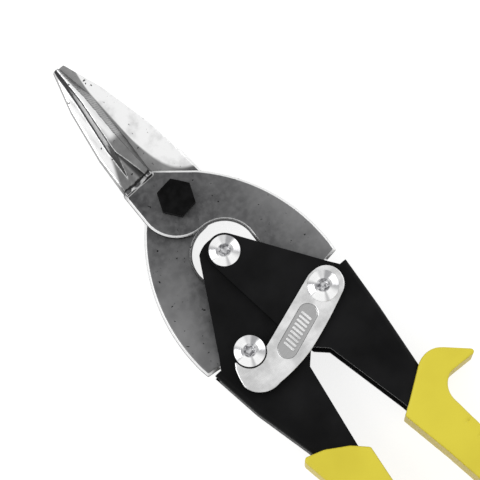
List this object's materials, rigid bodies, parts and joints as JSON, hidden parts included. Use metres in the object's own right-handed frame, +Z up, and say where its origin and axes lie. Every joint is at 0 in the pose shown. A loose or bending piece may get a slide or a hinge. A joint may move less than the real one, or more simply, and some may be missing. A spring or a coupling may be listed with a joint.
{
  "type": "aviation snips",
  "caption": "Straight-cutting compound-action metal snips with two forged serrated jaws, folded steel handles, a swinging hook latch and moulded grips, shown closed and latched.",
  "frame": {"origin": "on the pivot bolt's axis, in the plane of the table that the snips lie on, at the middle of the bolt's flat tail face", "axes": "+Y from the handles to the jaw tips, +X to the right seen from the front, +Z up from the table through the front face"},
  "size_m": [0.0694, 0.2485, 0.0214],
  "materials": {
    "blade_steel": "forged and tumbled steel, ground bright at the jaws",
    "handle_paint": "satin black coat on folded sheet",
    "grip_vinyl": "soft satin yellow vinyl",
    "black_oxide": "black oxide",
    "zinc_plate": "bright zinc",
    "latch_plate": "bright nickel plate on pressed sheet",
    "spring_steel": "oiled spring steel"
  },
  "bodies": {
    "right_handle": {"right_handle": "handle_paint", "right_grip": "grip_vinyl", "centre_rivet": "zinc_plate", "centre_rivet_burr": "zinc_plate", "right_arm_rivet": "zinc_plate", "right_rivet_burr": "zinc_plate", "spring_sleeve": "spring_steel", "latch_washer": "spring_steel", "opening_spring": "spring_steel"},
    "front_blade": {"front_blade": "blade_steel", "pivot_bolt": "black_oxide", "pivot_nut": "black_oxide", "pivot_washer": "black_oxide"},
    "back_blade": {"back_blade": "blade_steel"},
    "left_handle": {"left_handle": "handle_paint", "left_grip": "grip_vinyl", "left_arm_rivet": "zinc_plate", "left_rivet_burr": "zinc_plate"},
    "latch": {"latch": "latch_plate"}
  },
  "joints": [
    {"name": "jaw_pivot", "type": "hinge", "parent": "front_blade", "child": "back_blade", "pos_m": [0, 0, 0.0094], "axis": [0, 0, -1], "range_deg": [0, 24], "deforming": ["opening_spring"]},
    {"name": "front_arm_pivot", "type": "hinge", "parent": "right_handle", "child": "front_blade", "pos_m": [0.0159, -0.0535, 0.0094], "axis": [0, 0, -1], "range_deg": [0, 11.28]},
    {"name": "back_arm_pivot", "type": "hinge", "parent": "back_blade", "child": "left_handle", "pos_m": [-0.0159, -0.0535, 0.0094], "axis": [0, 0, -1], "range_deg": [0, 11.28]},
    {"name": "latch_pivot", "type": "hinge", "parent": "right_handle", "child": "latch", "pos_m": [0.0159, -0.0535, 0.0184], "axis": [0, 0, 1], "range_deg": [0, 60]}
  ],
  "couplings": [
    {"joint": "front_arm_pivot", "follows": "jaw_pivot", "ratio": 0.47},
    {"joint": "back_arm_pivot", "follows": "jaw_pivot", "ratio": 0.47}
  ]
}
